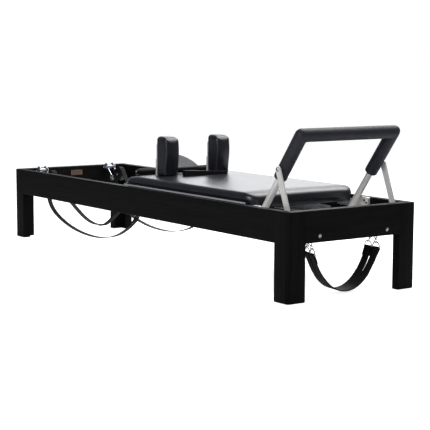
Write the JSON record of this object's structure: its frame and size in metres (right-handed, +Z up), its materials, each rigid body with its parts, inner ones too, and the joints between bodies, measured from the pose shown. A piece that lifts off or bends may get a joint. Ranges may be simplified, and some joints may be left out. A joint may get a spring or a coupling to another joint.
{
  "type": "pilates reformer",
  "caption": "Low oak-framed exercise bed: a sprung padded carriage rolls on tracks between a padded footbar and head-end pulleys, with pull straps and a foot strap.",
  "frame": {"origin": "on the floor under the middle of the frame", "axes": "+X along the bed towards the foot end with the footbar, +Y across the bed to the far side, +Z up"},
  "size_m": [2.3638, 0.68, 0.6863],
  "materials": {
    "black_oak": "black-stained open-grain oak, satin lacquer",
    "deck_plywood": "birch plywood, clear lacquer",
    "aluminium": "satin anodised",
    "chrome": "polished",
    "black_steel": "satin black powder coat",
    "spring_steel": "zinc-plated wire",
    "black_vinyl": "upholstery vinyl with a fine grain",
    "black_leather": "vegetable-tanned strap leather, waxed",
    "polyurethane": "cast black polyurethane",
    "bronze_plate": "dark bronze, brushed"
  },
  "bodies": {
    "frame": {"carriage_spring_1": "spring_steel", "carriage_spring_2": "spring_steel", "carriage_spring_3": "spring_steel", "carriage_spring_4": "spring_steel", "end_rail_foot": "black_oak", "end_rail_head": "black_oak", "foot_cross_batten": "black_oak", "footbar_hinge_plate_far": "aluminium", "footbar_hinge_plate_near": "aluminium", "gear_bar": "black_steel", "leg_foot_far": "black_oak", "leg_foot_near": "black_oak", "leg_head_far": "black_oak", "leg_head_near": "black_oak", "name_plate": "bronze_plate", "pull_strap_far": "black_leather", "pull_strap_near": "black_leather", "pulley_bracket_far": "chrome", "pulley_bracket_near": "chrome", "pulley_fork_far": "black_steel", "pulley_fork_near": "black_steel", "side_rail_far": "black_oak", "side_rail_near": "black_oak", "strap_eye_far": "chrome", "strap_eye_near": "chrome", "track_far": "aluminium", "track_near": "aluminium"},
    "carriage": {"carriage_deck": "deck_plywood", "carriage_mat": "black_vinyl", "carriage_side_near": "aluminium", "carriage_side_far": "aluminium", "spring_anchor_bar": "black_steel", "axle_beam_head": "black_steel", "axle_beam_foot": "black_steel", "pull_handle_near": "black_steel", "pull_handle_far": "black_steel", "headrest_wedge": "black_steel"},
    "headrest": {"headrest_board": "black_steel", "headrest_pad": "black_vinyl"},
    "footbar": {"footbar_tube": "aluminium", "footbar_foam_near": "black_vinyl", "footbar_foam_far": "black_vinyl", "footbar_foam_top": "black_vinyl"},
    "foot_strap": {"foot_strap": "black_leather", "d_rings_near": "chrome", "d_rings_far": "chrome", "snap_hooks_near": "chrome", "snap_hooks_far": "chrome"},
    "shoulder_rest_near": {"shoulder_pad_near": "black_vinyl", "shoulder_bracket_near": "aluminium"},
    "footbar_brace_near": {"footbar_brace_near": "aluminium"},
    "pulley_wheel_near": {"pulley_wheel_near": "polyurethane"},
    "carriage_wheel_head_near": {"carriage_wheel_head_near": "polyurethane"},
    "carriage_wheel_foot_near": {"carriage_wheel_foot_near": "polyurethane"},
    "shoulder_rest_far": {"shoulder_pad_far": "black_vinyl", "shoulder_bracket_far": "aluminium"},
    "footbar_brace_far": {"footbar_brace_far": "aluminium"},
    "pulley_wheel_far": {"pulley_wheel_far": "polyurethane"},
    "carriage_wheel_head_far": {"carriage_wheel_head_far": "polyurethane"},
    "carriage_wheel_foot_far": {"carriage_wheel_foot_far": "polyurethane"}
  },
  "joints": [
    {"name": "carriage_slide", "type": "slide", "parent": "frame", "child": "carriage", "axis": [-1, 0, 0], "range_m": [0, 0.76], "stiffness_N_per_m": 600, "springref_m": -0.05, "deforming": ["carriage_spring_1", "carriage_spring_2", "carriage_spring_3", "carriage_spring_4", "pull_strap_near", "pull_strap_far"]},
    {"name": "headrest_tilt", "type": "hinge", "parent": "carriage", "child": "headrest", "pos_m": [-0.057, 0, 0.4165], "axis": [0, 1, 0], "range_deg": [-30, 15]},
    {"name": "footbar_fold", "type": "hinge", "parent": "frame", "child": "footbar", "pos_m": [0.867, 0, 0.3], "axis": [0, 1, 0], "range_deg": [0, 34]},
    {"name": "foot_strap_swing", "type": "hinge", "parent": "frame", "child": "foot_strap", "pos_m": [1.105, 0, 0.262], "axis": [0, 1, 0], "range_deg": [-20, 60]},
    {"name": "shoulder_lift_near", "type": "slide", "parent": "carriage", "child": "shoulder_rest_near", "axis": [0, 0, 1], "range_m": [0, 0.12]},
    {"name": "brace_swing_near", "type": "hinge", "parent": "footbar", "child": "footbar_brace_near", "pos_m": [1.04, -0.2815, 0.519], "axis": [0, 1, 0], "range_deg": [0, 51]},
    {"name": "pulley_spin_near", "type": "hinge", "parent": "frame", "child": "pulley_wheel_near", "pos_m": [-1, -0.21, 0.323], "axis": [0, 1, 0], "continuous": true},
    {"name": "wheel_roll_head_near", "type": "hinge", "parent": "carriage", "child": "carriage_wheel_head_near", "pos_m": [-0.075, -0.276, 0.2883], "axis": [0, -1, 0], "continuous": true},
    {"name": "wheel_roll_foot_near", "type": "hinge", "parent": "carriage", "child": "carriage_wheel_foot_near", "pos_m": [0.76, -0.276, 0.2883], "axis": [0, -1, 0], "continuous": true},
    {"name": "shoulder_lift_far", "type": "slide", "parent": "carriage", "child": "shoulder_rest_far", "axis": [0, 0, 1], "range_m": [0, 0.12]},
    {"name": "brace_swing_far", "type": "hinge", "parent": "footbar", "child": "footbar_brace_far", "pos_m": [1.04, 0.2815, 0.519], "axis": [0, 1, 0], "range_deg": [0, 51]},
    {"name": "pulley_spin_far", "type": "hinge", "parent": "frame", "child": "pulley_wheel_far", "pos_m": [-1, 0.21, 0.323], "axis": [0, 1, 0], "continuous": true},
    {"name": "wheel_roll_head_far", "type": "hinge", "parent": "carriage", "child": "carriage_wheel_head_far", "pos_m": [-0.075, 0.276, 0.2883], "axis": [0, -1, 0], "continuous": true},
    {"name": "wheel_roll_foot_far", "type": "hinge", "parent": "carriage", "child": "carriage_wheel_foot_far", "pos_m": [0.76, 0.276, 0.2883], "axis": [0, -1, 0], "continuous": true}
  ],
  "couplings": [
    {"joint": "brace_swing_near", "follows": "footbar_fold", "ratio": 1.47},
    {"joint": "wheel_roll_head_near", "follows": "carriage_slide", "rad_per_m": 45.455},
    {"joint": "wheel_roll_foot_near", "follows": "carriage_slide", "rad_per_m": 45.455},
    {"joint": "brace_swing_far", "follows": "footbar_fold", "ratio": 1.47},
    {"joint": "wheel_roll_head_far", "follows": "carriage_slide", "rad_per_m": 45.455},
    {"joint": "wheel_roll_foot_far", "follows": "carriage_slide", "rad_per_m": 45.455}
  ]
}
